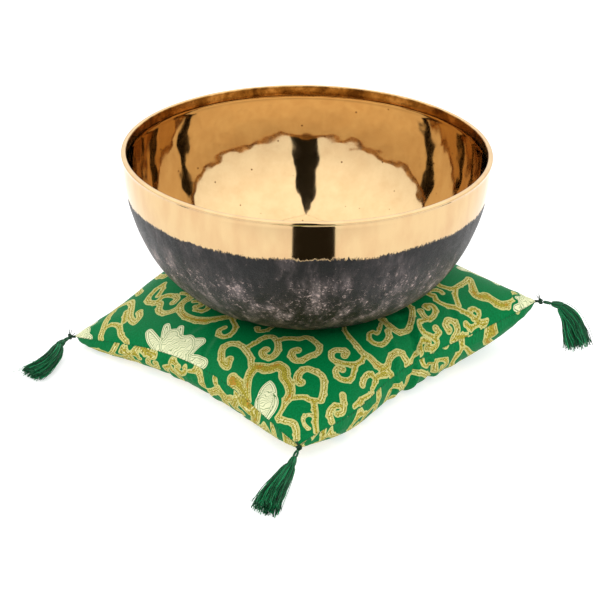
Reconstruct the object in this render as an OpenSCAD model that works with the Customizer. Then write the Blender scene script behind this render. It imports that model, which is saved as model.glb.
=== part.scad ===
// Hand-hammered bronze singing bowl on a square brocade cushion with a tassel at each corner.
// Millimetres, +Z up. The origin is on the table, straight under the bowl's axis.

/* [Bowl] */
// Outside diameter at the rim
bowl_d = 280; // [240:1:300]
// Height from the foot of the bowl to the rim
bowl_h = 121; // [105:1:130]
// Diameter of the flattened foot
foot_d = 84; // [60:1:110]
// Thickness of the hammered wall
wall = 2.6; // [1.8:0.1:3.5]
// Thickness of the lip
lip_w = 4.0; // [3.6:0.1:5.5]
// Height of the lip band on the inside
lip_h = 8; // [5:0.5:12]

/* [Cushion] */
// Distance between the left and right corners
diag_across = 364; // [340:1:380]
// Distance between the front and back corners
diag_deep = 356; // [340:1:380]
// Height of the bowl's foot above the table, with the filling pressed flat under it
seat_z = 47; // [40:1:55]
// Height of the seam at the middle of the front sides
seam_front_z = 24; // [20:1:28]
// Height of the seam at the middle of the left and the right back side
seam_left_z = 30; // [22:1:34]
seam_right_z = 40; // [30:1:42]
// How far the crown stands above the seam
crown = 27; // [20:1:32]
// How much further it stands at the back, where the bowl pushes the filling
crown_back = 20; // [0:1:24]
// Thickness of the lined brocade
cloth_t = 0.8; // [0.6:0.1:1.2]
// Clearance between the brocade and the bowl
seat_gap = 0.4; // [0.3:0.1:1]

/* [Tassels] */
// Radius of the knot that holds a tassel to its corner
knot_r = 2.6; // [2:0.1:3]
// Outside radius of the hanging loop
loop_r = 3.0; // [2.5:0.1:4]
// Radius of the loop's cord
loop_cord_r = 0.6; // [0.5:0.1:0.9]
// Radius of the tassel's head
head_r = 3.2; // [2.5:0.1:4]
// Width of the skirt's cut ends
skirt_w = 21; // [16:1:24]
// Thickness of the skirt's cut ends
skirt_t = 9; // [7:0.5:9.5]

/* [Hidden] */
CORNERS = ["left", "front", "right", "back"];

// ---- bowl outline -------------------------------------------------------------------------
bowl_r = bowl_d / 2;
foot_r = foot_d / 2;
rim_z = seat_z + bowl_h;
lip_drop = 4;                       // the lip turns out over this height
outline_steps = 24;
// The side is one cubic curve: level at the foot, plumb just under the lip.
side = [[foot_r, seat_z], [0.82 * bowl_r, seat_z], [bowl_r, seat_z + 0.57 * bowl_h],
    [bowl_r - 1, rim_z - lip_drop]];

function curve(p, t) = pow(1 - t, 3) * p[0] + 3 * t * pow(1 - t, 2) * p[1]
    + 3 * t * t * (1 - t) * p[2] + pow(t, 3) * p[3];
function slope(p, t) = pow(1 - t, 2) * (p[1] - p[0]) + 2 * t * (1 - t) * (p[2] - p[1])
    + t * t * (p[3] - p[2]);
function inward(p, t) = let (d = slope(p, t)) [-d[1], d[0]] / norm(d);

outer_side = [for (i = [0 : outline_steps]) curve(side, i / outline_steps)];
inner_side = [for (i = [0 : outline_steps]) let (t = i / outline_steps)
    curve(side, t) + wall * inward(side, t)];
lip_in = bowl_r - lip_w;
lip_edge = 0.6;                     // chamfer that stands for the rounded lip

module bowl() {
    below_lip = [for (p = inner_side) if (p[1] < rim_z - lip_h - 1) p];
    lip = [[bowl_r, rim_z - lip_drop / 2], [bowl_r, rim_z - lip_edge], [bowl_r - lip_edge, rim_z],
        [lip_in + lip_edge, rim_z], [lip_in, rim_z - lip_edge], [lip_in, rim_z - lip_h]];
    color("goldenrod")
        rotate_extrude($fn = 180)
            polygon(concat([[0, seat_z]], outer_side, lip,
                [for (i = [len(below_lip) - 1 : -1 : 0]) below_lip[i]], [[0, seat_z + wall]]));
}

// ---- cushion shape ------------------------------------------------------------------------
// u runs from the left side to the right, v from the front to the back, both from -1 to 1;
// the four corners are left (-1,-1), front (1,-1), right (1,1) and back (-1,1).
centre_y = -8;                      // the bowl stands a little behind the cushion's middle
skew = 1;                           // the handmade square is this many degrees out of true
corner_z = [9, 19, 43, 28];         // lifted corners: left, front, right, back
pull = [17, 12, 6, 2];              // how far each side's middle is drawn in
// The filling swells the right front side near its front end: out, down, place along it, spread
swell = [11, 6, -0.7, 0.36];
// Uneven filling: [x, y, height, spread]
lumps = [[-112, 38, 22, 34], [-150, 4, -14, 22], [120, 45, 10, 34]];
cells = 30;
across = diag_across / 2 * [cos(skew), sin(skew)];
deep = diag_deep / 2 * [sin(skew), cos(skew)];
flat_corner = [-across, -deep, across, deep];
corner = [for (k = [0 : 3]) [flat_corner[k][0], flat_corner[k][1] + centre_y, corner_z[k]]];

function unit(p) = p / norm(p);
function flat(p) = [p[0], p[1]];
dir_u = unit(flat(corner[1] + corner[2] - corner[0] - corner[3]));
dir_v = unit(flat(corner[3] + corner[2] - corner[0] - corner[1]));

function even(i) = -1 + 2 * i / cells;
function spread(i) = 0.6 * even(i) + 0.4 * sin(90 * even(i));     // closer together at the sides
function between(u, v) = ((1 - u) * (1 - v) * corner[0] + (1 + u) * (1 - v) * corner[1]
    + (1 + u) * (1 + v) * corner[2] + (1 - u) * (1 + v) * corner[3]) / 4;
function waist(s) = pow(max(0, 1 - s * s), 1.8);
function drawn(s, low, high) = (s < 0 ? low : high) * -s * (1 + abs(s)) / 2;
function swollen(u, v) = exp(-pow((v - swell[2]) / swell[3], 2)) * (1 - v * v) * pow((1 + u) / 2, 2);
function plan(u, v) = flat(between(u, v)) + dir_v * waist(u) * drawn(v, pull[0], pull[2])
    + dir_u * (waist(v) * drawn(u, pull[3], pull[1]) + swell[0] * swollen(u, v));
function seam_z(u, v) = let (
    mid = seam_front_z + (seam_right_z - seam_front_z) * pow((1 + v) / 2, 2) * (1 + u) / 2
        + (seam_left_z - seam_front_z) * pow((1 - u) / 2, 2) * (1 + v) / 2
        + 3 * (1 + u) * (1 - v) / 4 - swell[1] * swollen(u, v),
    w = pow(abs(u * v), 2.2 - max(0, -u) * max(0, -v))) mid * (1 - w) + between(u, v)[2] * w;
function fullness(u, v) = max(0, 1 - u * u) * max(0, 1 - v * v);
belly = 46;                         // drop of the underside, far enough to be flat on the table
belly_back = 14;                    // further drop at the back
under_z = -1.5;                     // the flat of the underside before the foot is trimmed
function lump(k, p) = lumps[k][2]
    * exp(-(pow(p[0] - lumps[k][0], 2) + pow(p[1] - lumps[k][1], 2)) / 2 / pow(lumps[k][3], 2));
function crown_at(v, p) = crown + crown_back * max(0, v) + lump(0, p) + lump(1, p) + lump(2, p);
function top_z(u, v) = min(seam_z(u, v) + cloth_t + crown_at(v, plan(u, v)) * pow(fullness(u, v), 0.5),
    lookup(norm(plan(u, v)), outer_side) - seat_gap);
function low_z(u, v) = max(seam_z(u, v) - cloth_t
    - (belly + belly_back * max(0, v)) * pow(fullness(u, v), 0.38), under_z);

// A sheet of points over cells [a, b], each lifted by dz
function top_sheet(a, b, dz) = [for (i = [a : b]) for (j = [a : b])
    let (u = spread(i), v = spread(j), p = plan(u, v)) [p[0], p[1], top_z(u, v) + dz]];
function low_sheet(a, b, dz, floor_z) = [for (i = [a : b]) for (j = [a : b])
    let (u = spread(i), v = spread(j), p = plan(u, v)) [p[0], p[1], max(low_z(u, v) + dz, floor_z)]];

// A closed solid between an upper and a lower sheet of n by n cells
module between_sheets(upper, lower, n) {
    w = n + 1;
    m = w * w;
    function at(i, j) = i * w + j;
    function wall_faces(a, b) = [[a, b, b + m], [a, b + m, a + m]];
    upper_faces = [for (i = [0 : n - 1]) for (j = [0 : n - 1]) for (f = [
        [at(i, j), at(i, j + 1), at(i + 1, j + 1)], [at(i, j), at(i + 1, j + 1), at(i + 1, j)]]) f];
    lower_faces = [for (f = upper_faces) [f[2] + m, f[1] + m, f[0] + m]];
    side_faces = [for (k = [0 : n - 1]) for (f = concat(
        wall_faces(at(k, 0), at(k + 1, 0)), wall_faces(at(k + 1, n), at(k, n)),
        wall_faces(at(0, k + 1), at(0, k)), wall_faces(at(n, k), at(n, k + 1)))) f];
    polyhedron(concat(upper, lower), concat(upper_faces, lower_faces, side_faces), convexity = 4);
}

module cover_top() {
    color("seagreen")
        between_sheets(top_sheet(0, cells, 0), top_sheet(0, cells, -cloth_t), cells);
}

module cover_bottom() {
    color("darkgreen") difference() {
        between_sheets(low_sheet(0, cells, cloth_t, cloth_t), low_sheet(0, cells, 0, under_z), cells);
        translate([-bowl_d, -bowl_d, -10])
            cube([2 * bowl_d, 2 * bowl_d, 10]);
    }
}

module filling() {
    slack = 0.05;
    color("white")
        between_sheets(top_sheet(1, cells - 1, -cloth_t - slack),
            low_sheet(1, cells - 1, cloth_t + slack, cloth_t + slack), cells - 2);
}

// ---- swept cord ---------------------------------------------------------------------------
// A closed tube of given radius through a list of points, with flat ends
module cord(points, r, sides) {
    last = len(points) - 1;
    function along(k) = unit(points[min(k + 1, last)] - points[max(k - 1, 0)]);
    function ring(k) = let (d = along(k), e = unit(cross(d, [0, 0, 1])), g = cross(e, d))
        [for (s = [0 : sides - 1]) points[k] + r * (cos(360 * s / sides) * e
            + sin(360 * s / sides) * g)];
    skin = [for (k = [0 : last - 1]) for (s = [0 : sides - 1])
        let (a = k * sides + s, b = k * sides + (s + 1) % sides)
        for (f = [[a, b, b + sides], [a, b + sides, a + sides]]) f];
    ends = [[for (s = [sides - 1 : -1 : 0]) s], [for (s = [0 : sides - 1]) last * sides + s]];
    polyhedron([for (k = [0 : last]) each ring(k)], concat(skin, ends), convexity = 6);
}

stitch_r = 0.5;                     // closing cord that is whipped along each side
stitch_off = 0.8;                   // it lies just outside the seam
stitch_steps = 16;
stitch_end = 0.95;                  // it stops short of the corner knots
function side_uv(k, s) = k == 0 ? [s, -1] : k == 1 ? [1, s] : k == 2 ? [-s, 1] : [-1, -s];
function side_out(k) = k == 0 ? -dir_v : k == 1 ? dir_u : k == 2 ? dir_v : -dir_u;
function side_point(k, s) = let (q = side_uv(k, s), p = plan(q[0], q[1]) + stitch_off * side_out(k))
    [p[0], p[1], seam_z(q[0], q[1])];

module edge_stitching() {
    color("darkgreen") for (k = [0 : 3])
        cord([for (i = [0 : stitch_steps]) side_point(k, stitch_end * (2 * i / stitch_steps - 1))],
            stitch_r, 6);
}

// ---- tassels ------------------------------------------------------------------------------
// Each tassel: the turn and the dip in degrees of its loop and head, and the points that
// its skirt passes through on the way from the binding to the cut ends.
gap = 0.3;
knot_out = [[-1, 0, 0], [0, -1, 0], [1, 0, 0], [0, 1, 0]];
leave_turn = [-115, -111, -15, 75];
leave_dip = [0, 20, 5, 25];
skirt_tail = [
    [[-196, -38, 6.5], [-203, -54, 5], [-209, -66, 4.8]],
    [[-14, -217, 8], [-20, -232, 5.3], [-25, -246, 4.8]],
    [[208, -11, 34], [213, -12, 22], [217, -12, 6]],
    [[11.5, 200, 12.5], [15, 214, 6.5], [18, 228, 4.8]]];
neck_off = 4.2;                     // from the middle of the head to the top of the skirt

function leave(k) = [cos(leave_turn[k]) * cos(leave_dip[k]), sin(leave_turn[k]) * cos(leave_dip[k]),
    -sin(leave_dip[k])];
function knot_at(k) = corner[k] + (knot_r + 0.6) * knot_out[k];
function loop_at(k) = knot_at(k) + (knot_r + gap + loop_r) * leave(k);
function head_at(k) = loop_at(k) + (loop_r + gap + head_r) * leave(k);
function route(k) = concat([head_at(k) + neck_off * leave(k)], skirt_tail[k]);
function turn_of(d) = atan2(d[1], d[0]);
function dip_of(d) = atan2(-d[2], norm(flat(d)));

// Places children so that their X axis runs along d
module aim(p, d) {
    translate(p) rotate([0, dip_of(d), turn_of(d)]) children();
}

module corner_knot(k) {
    color("darkgreen") translate(knot_at(k)) sphere(knot_r, $fn = 32);
}

module tassel_loop(k) {
    color("darkgreen") aim(loop_at(k), leave(k))
        rotate_extrude($fn = 48)
            translate([loop_r - loop_cord_r, 0]) circle(loop_cord_r, $fn = 16);
}

module tassel_head(k) {
    color("green") translate(head_at(k)) sphere(head_r, $fn = 32);
}

binding_l = 1.6;
binding_in = 2.5;
binding_out = 3.1;

module tassel_binding(k) {
    color("darkgreen") aim(head_at(k), leave(k)) rotate([0, 90, 0]) difference() {
        translate([0, 0, head_r - 1.1]) cylinder(h = binding_l, r = binding_out, $fn = 32);
        cylinder(h = 2 * head_r, r = binding_in, $fn = 32);
    }
}

// One slice of the skirt, an upright oval across the route
module slice(p, d, w, t) {
    aim(p, d) rotate([0, 90, 0]) linear_extrude(height = 0.4, center = true)
        scale([t / 2, w / 2]) circle(1, $fn = 24);
}

module tassel_skirt(k) {
    p = route(k);
    last = len(p) - 1;
    neck = 2 * binding_in;
    slice_w = [neck, 0.62 * skirt_w, 0.9 * skirt_w, skirt_w];
    slice_t = [neck, skirt_t, skirt_t, skirt_t];
    color("green") for (i = [0 : last - 1]) hull() for (j = [i, i + 1])
        slice(p[j], j == 0 ? leave(k) : p[min(j + 1, last)] - p[j - 1], slice_w[j], slice_t[j]);
}

bowl();
cover_top();
cover_bottom();
filling();
edge_stitching();
for (k = [0 : 3]) {
    corner_knot(k);
    tassel_loop(k);
    tassel_head(k);
    tassel_binding(k);
    tassel_skirt(k);
}
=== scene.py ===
"""Looks of a hand-hammered bronze singing bowl on a stuffed brocade cushion with four tassels.

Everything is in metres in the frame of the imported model: the origin is on the table under the
bowl's axis, X runs to the cushion's right corner, -Y to its front corner.
"""

import bpy
import numpy as np
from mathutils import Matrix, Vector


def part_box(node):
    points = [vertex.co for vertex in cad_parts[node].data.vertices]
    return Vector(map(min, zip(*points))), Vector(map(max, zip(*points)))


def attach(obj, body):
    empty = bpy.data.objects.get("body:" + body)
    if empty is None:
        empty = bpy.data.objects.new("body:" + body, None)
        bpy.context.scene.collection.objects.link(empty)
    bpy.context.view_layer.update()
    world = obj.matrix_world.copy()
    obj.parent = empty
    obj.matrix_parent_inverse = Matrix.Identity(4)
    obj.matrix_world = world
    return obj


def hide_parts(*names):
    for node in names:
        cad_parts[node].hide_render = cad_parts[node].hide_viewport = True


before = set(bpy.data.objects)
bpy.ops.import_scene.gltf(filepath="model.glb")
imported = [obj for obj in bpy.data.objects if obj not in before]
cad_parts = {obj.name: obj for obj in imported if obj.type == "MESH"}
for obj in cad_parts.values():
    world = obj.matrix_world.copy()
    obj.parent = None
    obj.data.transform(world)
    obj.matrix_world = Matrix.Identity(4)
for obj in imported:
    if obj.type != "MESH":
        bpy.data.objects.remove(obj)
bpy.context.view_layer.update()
scene = bpy.context.scene
MM = 0.001
CORNERS = ("left", "front", "right", "back")


# ---- camera ---------------------------------------------------------------------------------
CAMERA_PLACE = (-0.0037, -1.200, 0.6448)
CAMERA_DOWN = np.radians(26.8)
CAMERA_ROLL = np.radians(0.81)
CAMERA_LENS = 102.3


def make_camera():
    camera = bpy.data.objects.new("camera", bpy.data.cameras.new("camera"))
    camera.data.lens = CAMERA_LENS
    camera.data.sensor_width = 36
    camera.location = CAMERA_PLACE
    camera.rotation_mode = "QUATERNION"
    tilt = Matrix.Rotation(np.pi / 2 - CAMERA_DOWN, 4, "X")
    roll = Matrix.Rotation(CAMERA_ROLL, 4, "Z")
    camera.rotation_quaternion = (tilt @ roll).to_quaternion()
    scene.collection.objects.link(camera)
    scene.camera = camera


make_camera()


# ---- small tools ----------------------------------------------------------------------------
def hue(code, alpha=1.0):
    """An sRGB hex colour as linear light."""
    c = np.array([int(code[i:i + 2], 16) / 255 for i in (1, 3, 5)])
    c = np.where(c <= 0.04045, c / 12.92, ((c + 0.055) / 1.055) ** 2.4)
    return (*c.tolist(), alpha)


def add(tree, kind, sockets=None, out=0, **settings):
    """Adds a shader node. Each socket is given a value, or an output to link from. Returns one output."""
    made = tree.nodes.new("ShaderNode" + kind)
    for key, value in settings.items():
        setattr(made, key, value)
    for key, value in (sockets or {}).items():
        if isinstance(value, bpy.types.NodeSocket):
            tree.links.new(value, made.inputs[key])
        else:
            made.inputs[key].default_value = value
    return made.outputs[out] if len(made.outputs) else made


def ramp(tree, factor, stops):
    """A colour ramp: stops are (place, colour)."""
    made = tree.nodes.new("ShaderNodeValToRGB")
    band = made.color_ramp
    while len(band.elements) < len(stops):
        band.elements.new(0.5)
    for element, (place, colour) in zip(band.elements, stops):
        element.position = place
        element.color = colour
    tree.links.new(factor, made.inputs[0])
    return made.outputs[0]


def fade(tree, value, start, end, least=0.0, most=1.0):
    """Takes a value from start to end linearly to least and most, and holds it there beyond them."""
    sockets = {"Value": value, "From Min": start, "From Max": end, "To Min": least, "To Max": most}
    return add(tree, "MapRange", sockets)


def new_material(name):
    material = bpy.data.materials.new(name)
    material.use_nodes = True
    material.node_tree.nodes.clear()
    return material, material.node_tree


def close(tree, surface):
    add(tree, "OutputMaterial", {"Surface": surface})


def make_piece(name, points, faces, material, smooth=True, uv=None, **fields):
    """A mesh object from an array of points and an array, or list of arrays, of faces."""
    groups = faces if isinstance(faces, list) else [faces]
    mesh = bpy.data.meshes.new(name)
    corners = np.concatenate([f.ravel() for f in groups]).astype(np.int32)
    totals = np.concatenate([np.full(len(f), f.shape[1]) for f in groups]).astype(np.int32)
    mesh.vertices.add(len(points))
    mesh.vertices.foreach_set("co", np.ascontiguousarray(points, np.float32).ravel())
    mesh.loops.add(len(corners))
    mesh.loops.foreach_set("vertex_index", corners)
    mesh.polygons.add(len(totals))
    mesh.polygons.foreach_set("loop_start", np.concatenate([[0], np.cumsum(totals)[:-1]]).astype(np.int32))
    mesh.polygons.foreach_set("use_smooth", np.full(len(totals), smooth))
    mesh.update(calc_edges=True)
    mesh.validate()
    for key, values in fields.items():
        layer = mesh.attributes.new(key, "FLOAT", "POINT")
        layer.data.foreach_set("value", values.astype(np.float32).ravel())
    if uv is not None:
        layer = mesh.uv_layers.new(name="cloth")
        layer.data.foreach_set("uv", uv[corners].astype(np.float32).ravel())
    mesh.materials.append(material)
    piece = bpy.data.objects.new(name, mesh)
    scene.collection.objects.link(piece)
    return piece


def place(piece, body, slot, *nodes):
    """The piece rides on a body and stands for CAD nodes, which are hidden; the slot is not used."""
    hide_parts(*nodes)
    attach(piece, body)
    return piece


def grid_faces(rows, columns, closed=False, start=0):
    """Quads over a grid of points stored row by row; closed joins the last column to the first."""
    i, j = np.meshgrid(np.arange(rows - 1), np.arange(columns if closed else columns - 1), indexing="ij")
    k = (j + 1) % columns
    quads = np.stack([i * columns + j, i * columns + k, (i + 1) * columns + k, (i + 1) * columns + j], -1)
    return quads.reshape(-1, 4) + start


def unit(v):
    return v / np.maximum(np.linalg.norm(v, axis=-1, keepdims=True), 1e-12)


def catmull_rom(a, b, c, d, f):
    """The cubic from b to c whose end slopes are half the chord between the neighbours."""
    bend = 2 * a - 5 * b + 4 * c - d
    twist = 3 * b - a - 3 * c + d
    return 0.5 * (2 * b + (c - a) * f + bend * f ** 2 + twist * f ** 3)


def through(points, steps):
    """A Catmull-Rom curve through the points."""
    p = np.asarray(points, float)
    p = np.concatenate([[2 * p[0] - p[1]], p, [2 * p[-1] - p[-2]]])
    t = np.linspace(0, len(p) - 3, steps)
    i = np.minimum(t.astype(int), len(p) - 4)
    return catmull_rom(p[i], p[i + 1], p[i + 2], p[i + 3], (t - i)[:, None])


def tubes(paths, radius, sides=3, closed=False):
    """Points and faces of tubes along paths, an array (strand, point, 3). A ring stands square to the
    path: its axes are the cross products of the path's direction with a steady reference."""
    count, steps = paths.shape[:2]
    along = unit(np.roll(paths, -1, 1) - np.roll(paths, 1, 1) if closed else np.gradient(paths, axis=1))
    steady = np.where(np.abs(along[..., 2:]) > 0.9, (1.0, 0.0, 0.0), (0.0, 0.0, 1.0))
    side = unit(np.cross(along, steady))
    up = np.cross(side, along)
    turn = 2 * np.pi * np.arange(sides) / sides
    r = np.broadcast_to(np.asarray(radius, float), (count, steps))[:, :, None, None]
    ring = np.cos(turn)[:, None] * side[:, :, None] + np.sin(turn)[:, None] * up[:, :, None]
    points = (paths[:, :, None] + r * ring).reshape(-1, 3)
    last = steps if closed else steps - 1
    s, k, q = np.meshgrid(np.arange(count), np.arange(last), np.arange(sides), indexing="ij")
    a = (s * steps + k) * sides
    b = (s * steps + (k + 1) % steps) * sides
    n = (q + 1) % sides
    skin = np.stack([a + q, a + n, b + n, b + q], -1).reshape(-1, 4)
    if closed:
        return points, [skin]
    first = (np.arange(count) * steps * sides)[:, None]
    ends = first + (steps - 1) * sides
    return points, [skin, first + np.arange(sides)[::-1], ends + np.arange(sides)]


def joined(parts):
    """Joins (points, face lists) pairs into one set of points and one list of face arrays."""
    faces, offset = [], 0
    for points, groups in parts:
        faces += [g + offset for g in groups]
        offset += len(points)
    return np.concatenate([p for p, _ in parts]), faces


# ---- the bowl -------------------------------------------------------------------------------
foot, top_of_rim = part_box("bowl")
RIM_R = (top_of_rim.x - foot.x) / 2
FOOT_Z = foot.z
RIM_Z = top_of_rim.z
BOWL_H = RIM_Z - FOOT_Z
WALL = 2.6 * MM
LIP_W = 4.0 * MM
LIP_H = 8.0 * MM
SIDE = np.array([
    (0.30 * RIM_R, FOOT_Z), (0.82 * RIM_R, FOOT_Z),
    (RIM_R, FOOT_Z + 0.57 * BOWL_H), (RIM_R - 1 * MM, RIM_Z - 4 * MM)])


def side_curve(t):
    """The bowl's side from foot to lip: one cubic curve, level at the foot and plumb under the lip."""
    t = np.asarray(t)[:, None]
    lower = (1 - t) ** 3 * SIDE[0] + 3 * t * (1 - t) ** 2 * SIDE[1]
    return lower + 3 * t ** 2 * (1 - t) * SIDE[2] + t ** 3 * SIDE[3]


def bowl_profile():
    """Half of the bowl's section as (r, z): under the foot, up the side, over the round lip, down
    the inside and across the floor."""
    t = np.linspace(0, 1, 84)
    outer = side_curve(t)
    slope = unit(np.gradient(outer, axis=0))
    inner = outer + WALL * np.stack([-slope[:, 1], slope[:, 0]], 1)
    base = np.stack([np.linspace(1 * MM, SIDE[0, 0], 16)[:-1], np.full(15, FOOT_Z)], 1)
    floor = np.stack([np.linspace(1 * MM, inner[0, 0], 16)[:-1], np.full(15, FOOT_Z + WALL)], 1)
    deep = LIP_H / MM
    outside = np.array([(-0.7, -2.6), (0, -1.4), (-0.4, -0.4), (-1.4, 0)])
    within = np.array([
        (1.2, 0), (0.3, -0.4), (0, -1.4), (-0.1, -0.6 * deep), (0.2, -0.95 * deep), (0.9, -deep - 1)])
    lip = through(np.concatenate([
        (RIM_R, RIM_Z) + outside * MM, (RIM_R - LIP_W, RIM_Z) + within * MM]), 40)
    inner = inner[inner[:, 1] < RIM_Z - LIP_H - 2.5 * MM]
    count = len(base) + len(outer) + len(lip) // 2
    profile = np.concatenate([base, outer, lip, inner[::-1], floor[::-1]])
    return profile, np.arange(len(profile)) >= count


def hammer_marks(angle, height, seed, count, across, depth):
    """Sum of shallow round dents: each is a Gaussian of its distance on the unrolled wall, with
    centres strewn at random."""
    rng = np.random.default_rng(seed)
    at_angle = rng.uniform(0, 2 * np.pi, count)
    at_height = rng.uniform(0.0, 0.2, count)
    size = across * rng.uniform(0.7, 1.4, count)
    strength = depth * rng.uniform(0.4, 1.0, count)
    total = np.zeros(angle.shape)
    for a, h, s, d in zip(at_angle, at_height, size, strength):
        turn = (angle - a + np.pi) % (2 * np.pi) - np.pi
        total += d * np.exp(-((turn * 0.12) ** 2 + (height - h) ** 2) / (2 * s * s))
    return total


def make_bowl(bright, dark):
    profile, inside = bowl_profile()
    around = 400
    angle = np.linspace(0, 2 * np.pi, around, endpoint=False)[None, :] + np.zeros((len(profile), 1))
    run = np.concatenate([[0], np.cumsum(np.linalg.norm(np.diff(profile, axis=0), axis=1))])
    slope = unit(np.gradient(profile, axis=0))
    out = np.stack([slope[:, 1], -slope[:, 0]], 1)
    path = np.where(inside, run[-1] - run, run)[:, None] + np.zeros((1, around))
    dents = np.where(
        inside[:, None], -hammer_marks(angle, path, 3, 260, 8 * MM, 0.14 * MM),
        -hammer_marks(angle, path, 5, 520, 6 * MM, 0.30 * MM))
    room = np.where(inside, 10 * MM, 40 * MM)
    near_lip = np.clip((RIM_Z - room - profile[:, 1]) / (16 * MM), 0, 1)[:, None]
    r = profile[:, :1] + dents * near_lip * out[:, :1]
    z = profile[:, 1:] + dents * near_lip * out[:, 1:]
    points = np.stack([r * np.cos(angle), r * np.sin(angle), z], -1).reshape(-1, 3)
    rows = len(profile)
    poles = np.array([[0, 0, z[0].mean()], [0, 0, z[-1].mean()]])
    ring = np.arange(around)
    fan_under = np.stack([np.full(around, rows * around), (ring + 1) % around, ring], 1)
    last = (rows - 1) * around
    fan_floor = np.stack([np.full(around, rows * around + 1), last + ring, last + (ring + 1) % around], 1)
    quads = grid_faces(rows, around, closed=True)
    bowl = make_piece("bowl_bronze", np.concatenate([points, poles]), [quads, fan_under, fan_floor], dark)
    bowl.data.materials.append(bright)
    inner_face = np.concatenate([
        np.repeat(inside[:-1], around), np.zeros(around, bool), np.ones(around, bool)])
    bowl.data.polygons.foreach_set("material_index", inner_face.astype(np.int32))
    return place(bowl, "bowl", "bronze", "bowl")


# ---- the cushion's shape --------------------------------------------------------------------
CUT = 0.270                        # side of each square panel, cut inside its seam allowance
SPAN = 400.0                       # mm of flat cloth that one unit of UV spans
CELLS = 72                         # cells across a panel while it is stuffed
FINER = 4                          # each cell is divided again by this after stuffing
CORNER_Z = (9 * MM, 19 * MM, 43 * MM, 28 * MM)
SEAM_FRONT_Z, SEAM_LEFT_Z, SEAM_RIGHT_Z = 24 * MM, 30 * MM, 40 * MM
CROWN, CROWN_BACK = 27 * MM, 20 * MM
BELLY, BELLY_BACK = 46 * MM, 14 * MM
PULL = (17 * MM, 12 * MM, 6 * MM, 2 * MM)
# The filling swells the right front side near its front end: out, down, place along it, spread.
SWELL_OUT, SWELL_DOWN, SWELL_AT, SWELL_WIDE = 11 * MM, 6 * MM, -0.7, 0.36
# How far the lower panel stands out below the seam on the two front sides.
BELLY_OUT = (5 * MM, 3 * MM)
BELLY_REACH = 0.07
# Uneven filling: x, y, height, spread.
LUMPS = [
    (-112 * MM, 38 * MM, 22 * MM, 34 * MM), (-150 * MM, 4 * MM, -14 * MM, 22 * MM),
    (120 * MM, 45 * MM, 10 * MM, 34 * MM)]
BOWL_GAP = 0.6 * MM
TABLE_GAP = 0.3 * MM
# How the panels are stuffed: steps, how far a point may settle, and the cloth's settings.
STUFFING_STEPS = 30
MOST_MOVE = 3 * MM
CLOTH = {
    "quality": 7, "mass": 0.25, "tension_stiffness": 20, "compression_stiffness": 20, "shear_stiffness": 8,
    "bending_stiffness": 0.4, "air_damping": 2, "tension_damping": 8, "compression_damping": 8,
    "shear_damping": 8, "use_pressure": True, "uniform_pressure_force": 30, "vertex_group_mass": "held",
    "pin_stiffness": 1.0}


def box_middle(node):
    low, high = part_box(node)
    return np.array((low + high) / 2)


def cushion_corners():
    """The four corner points: the extreme points of the cover, at the heights of the CAD."""
    low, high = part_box("cover_top")
    knots = {c: box_middle("corner_knot_" + c) for c in CORNERS}
    plan = [
        (low.x, knots["left"][1]), (knots["front"][0], low.y),
        (high.x, knots["right"][1]), (knots["back"][0], high.y)]
    return np.array([(*p, z) for p, z in zip(plan, CORNER_Z)])


CORNER = cushion_corners()
DIR_U = unit((CORNER[1] + CORNER[2] - CORNER[0] - CORNER[3])[:2])
DIR_V = unit((CORNER[3] + CORNER[2] - CORNER[0] - CORNER[1])[:2])


def drawn(s, low, high):
    return np.where(s < 0, low, high) * -s * (1 + np.abs(s)) / 2


def waist(s):
    return np.clip(1 - s * s, 0, None) ** 1.8


def bowl_underside(r):
    """Height of the bowl's outside at a distance from its axis."""
    outline = side_curve(np.linspace(0, 1, 200))
    return np.interp(r, outline[:, 0], outline[:, 1], right=1.0)


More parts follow.
